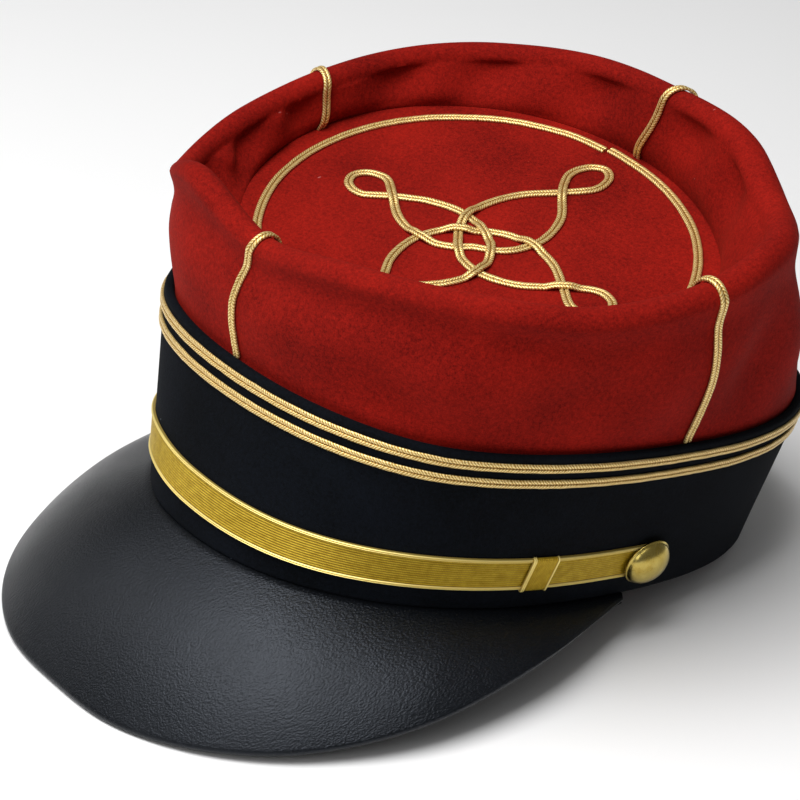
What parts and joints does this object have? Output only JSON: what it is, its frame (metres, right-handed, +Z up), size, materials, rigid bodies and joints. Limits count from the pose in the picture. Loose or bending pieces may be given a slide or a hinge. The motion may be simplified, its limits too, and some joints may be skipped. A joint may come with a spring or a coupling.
{
  "type": "kepi cap",
  "caption": "Soft kepi: red wool crown with a sunk top, navy wool band, leather peak, gold chin strap and gold braid with a looped knot on the top.",
  "frame": {"origin": "on the surface that the cap rests on, under the middle of its bounding box", "axes": "+Z up; +Y towards the back of the cap, so the peak points to -Y; +X towards the wearer's left"},
  "size_m": [0.1938, 0.258, 0.1405],
  "materials": {
    "madder_wool": "milled red wool cloth",
    "navy_wool": "milled near-black navy wool cloth",
    "black_leather": "fine grained, soft sheen",
    "gold_braid": "flat braid of metallic gold thread",
    "gold_lace": "ribbed woven gold lace",
    "gilt_brass": "gilt, lightly worn"
  },
  "bodies": {
    "root": {"band": "navy_wool", "crown_wall": "madder_wool", "crown_top": "madder_wool", "peak": "black_leather", "braid_row_upper": "gold_braid", "braid_row_lower": "gold_braid", "braid_ring": "gold_braid", "braid_knot": "gold_braid", "braid_front": "gold_braid", "braid_left": "gold_braid", "braid_back": "gold_braid", "braid_right": "gold_braid", "chin_strap": "gold_lace", "slider_left": "gold_lace", "slider_right": "gold_lace", "button_left": "gilt_brass", "button_right": "gilt_brass"}
  },
  "joints": []
}
